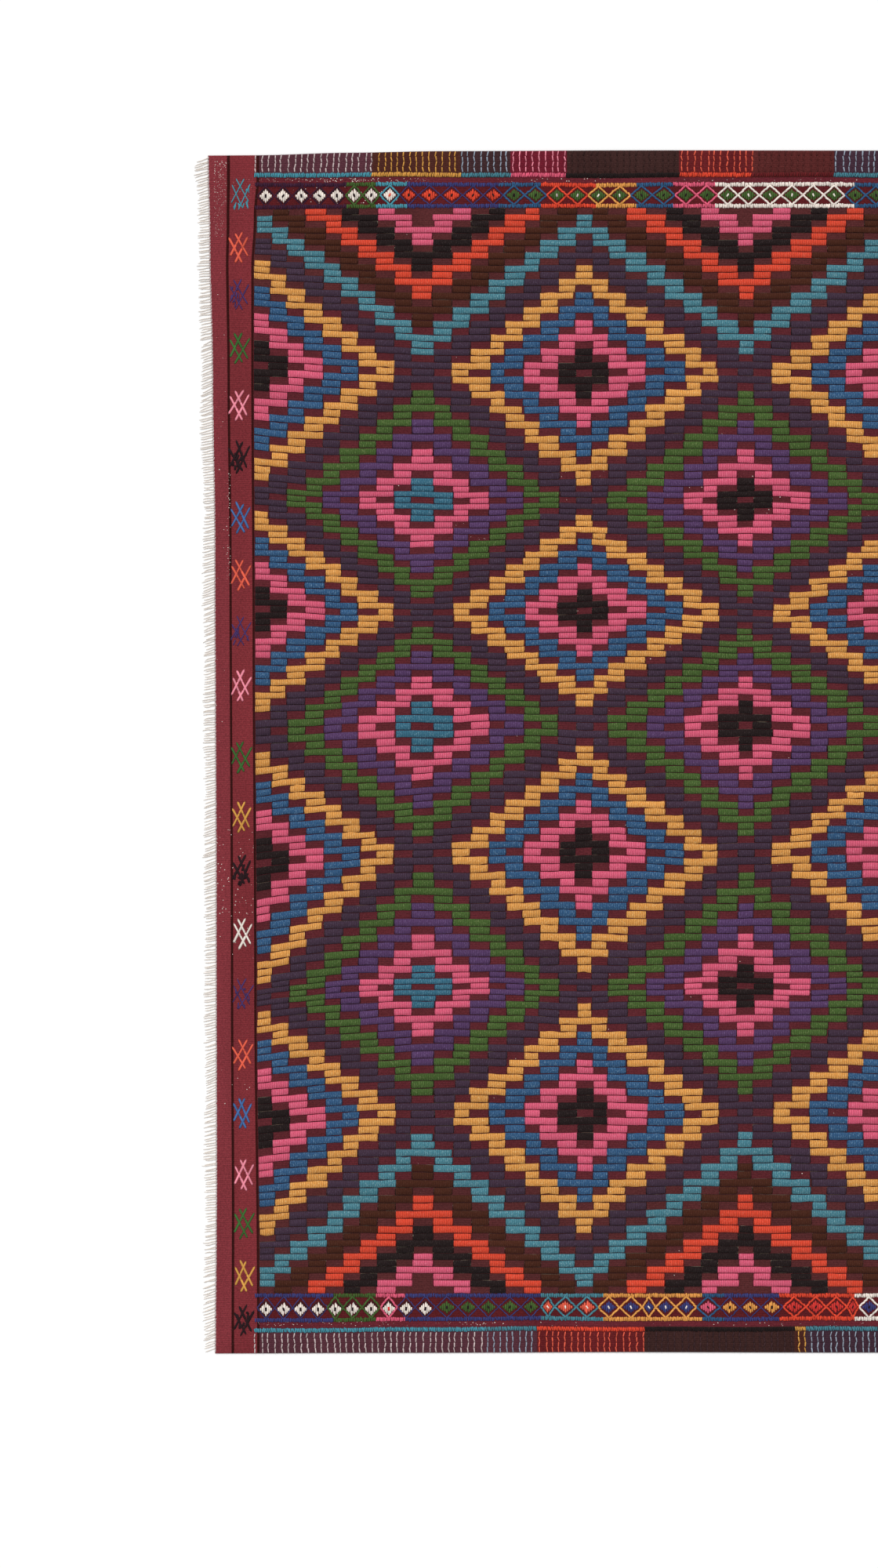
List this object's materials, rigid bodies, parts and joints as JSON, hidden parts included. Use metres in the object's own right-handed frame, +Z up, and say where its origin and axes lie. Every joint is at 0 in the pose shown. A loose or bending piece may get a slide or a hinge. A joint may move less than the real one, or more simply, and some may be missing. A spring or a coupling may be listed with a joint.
{
  "type": "kilim rug",
  "caption": "Flat hand-woven wool kilim with a ribbed brocade field of stepped concentric lozenges, brocaded side borders, plain end bands and short warp fringes.",
  "frame": {"origin": "under the middle of the rug, on the surface it lies on", "axes": "+X along the warp, from the left fringe to the right fringe; +Y across the rug; +Z up"},
  "size_m": [2.4846, 1.706, 0.0038],
  "materials": {
    "kilim_wool": "weft-faced wool with raised extra-weft floats in many colours, matt",
    "warp_yarn": "undyed twisted yarn, matt"
  },
  "bodies": {
    "root": {"kilim_cloth": "kilim_wool", "left_fringe": "warp_yarn", "right_fringe": "warp_yarn"}
  },
  "joints": []
}
